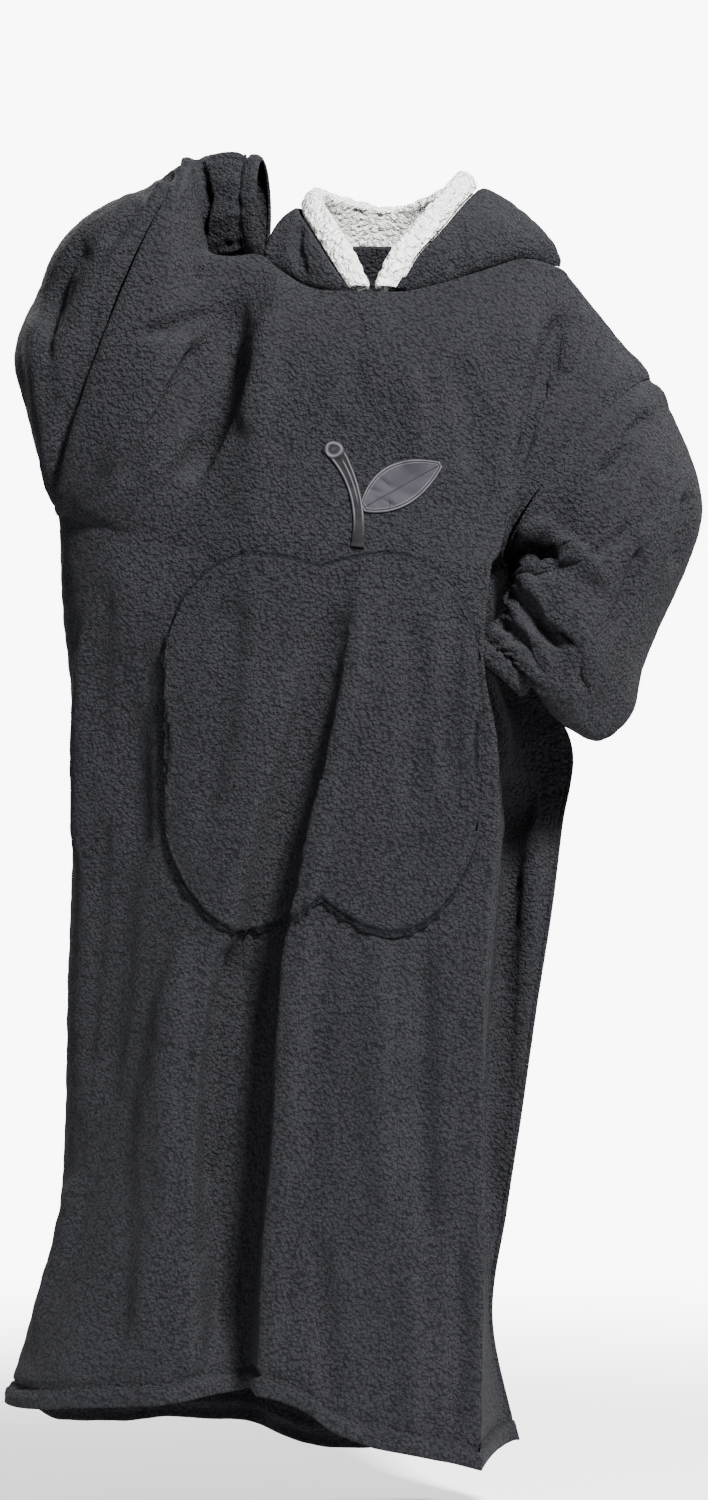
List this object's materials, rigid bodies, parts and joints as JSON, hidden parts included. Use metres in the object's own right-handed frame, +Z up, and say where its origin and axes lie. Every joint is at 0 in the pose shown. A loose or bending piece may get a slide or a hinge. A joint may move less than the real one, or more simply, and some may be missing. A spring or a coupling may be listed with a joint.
{
  "type": "wearable blanket hoodie",
  "caption": "Oversized ankle-length fleece hoodie in its worn form: one sleeve raised, one hand at the hip, hood down, fruit-shaped pouch pocket.",
  "frame": {"origin": "middle of the neck opening, where the wearer holds the garment", "axes": "+Z up along the garment's length, -Y to the front, +X to the wearer's left"},
  "size_m": [0.7982, 0.4627, 1.5246],
  "materials": {
    "fleece": "dark charcoal sherpa fleece with a short curled pile",
    "sherpa_lining": "white sherpa fleece",
    "satin": "grey satin applique with stitched edge"
  },
  "bodies": {
    "root": {"front_body": "fleece", "back_body": "fleece", "sleeve_raised": "fleece", "sleeve_hip": "fleece", "cuff_raised": "fleece", "cuff_hip": "fleece", "hood": "fleece", "hood_lining": "sherpa_lining", "pocket": "fleece", "stem": "satin", "leaf": "satin"}
  },
  "joints": []
}
